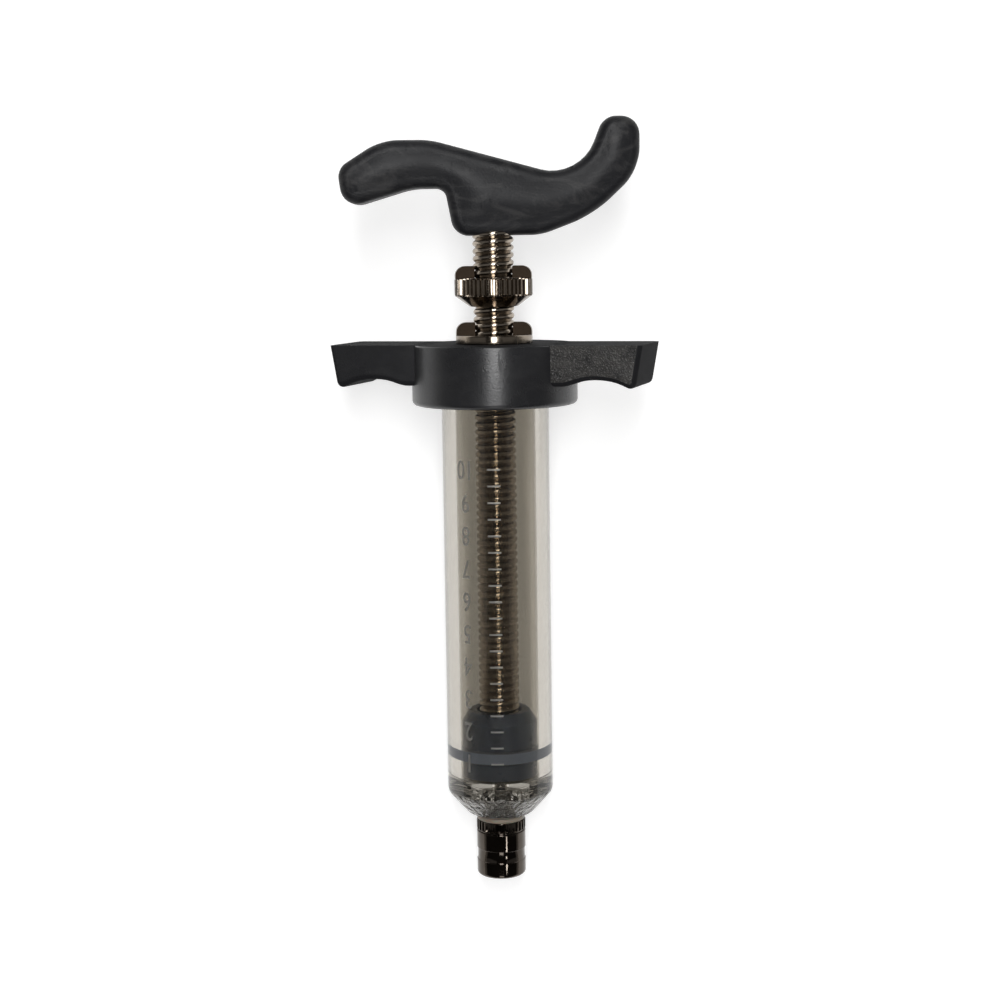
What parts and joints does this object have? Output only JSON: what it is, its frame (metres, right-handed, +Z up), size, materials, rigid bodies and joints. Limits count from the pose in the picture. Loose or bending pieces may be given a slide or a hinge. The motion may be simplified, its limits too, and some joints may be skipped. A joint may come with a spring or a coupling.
{
  "type": "veterinary syringe",
  "caption": "Refillable syringe lying on a table: clear graduated barrel, two finger wings, threaded rod with a dose stop nut and an S-shaped palm handle.",
  "frame": {"origin": "centre of the footprint, on the table that it lies on", "axes": "+Z up from the table, +Y along the syringe from the needle end towards the handle, +X towards the raised finger wing"},
  "size_m": [0.0598, 0.1392, 0.035],
  "materials": {
    "charcoal_nylon": "satin",
    "clear_plastic": "clear",
    "plated_metal": "polished",
    "piston_plastic": "satin",
    "seal_rubber": "smooth",
    "gasket_beige": "smooth"
  },
  "bodies": {
    "barrel_assembly": {"barrel": "clear_plastic", "finger_flange": "charcoal_nylon", "cap_gasket": "gasket_beige", "guide_bush": "plated_metal", "hub_gasket": "gasket_beige", "needle_hub": "plated_metal"},
    "piston_assembly": {"piston_front": "piston_plastic", "piston_seal": "seal_rubber", "piston_rear": "piston_plastic"},
    "rod_assembly": {"piston_rod": "plated_metal", "handle": "charcoal_nylon", "rod_washer": "plated_metal", "rod_end_screw": "plated_metal"},
    "dose_stop": {"dose_nut": "plated_metal"}
  },
  "joints": [
    {"name": "plunger_slide", "type": "slide", "parent": "barrel_assembly", "child": "piston_assembly", "axis": [0, 0.993, 0.1182], "range_m": [0, 0.065]},
    {"name": "handle_turn", "type": "hinge", "parent": "piston_assembly", "child": "rod_assembly", "pos_m": [0, -0.04232, 0.01091], "axis": [0, 0.993, 0.1182], "continuous": true},
    {"name": "dose_set", "type": "slide", "parent": "rod_assembly", "child": "dose_stop", "axis": [0, 0.993, 0.1182], "range_m": [-0.0025, 0.005]}
  ]
}
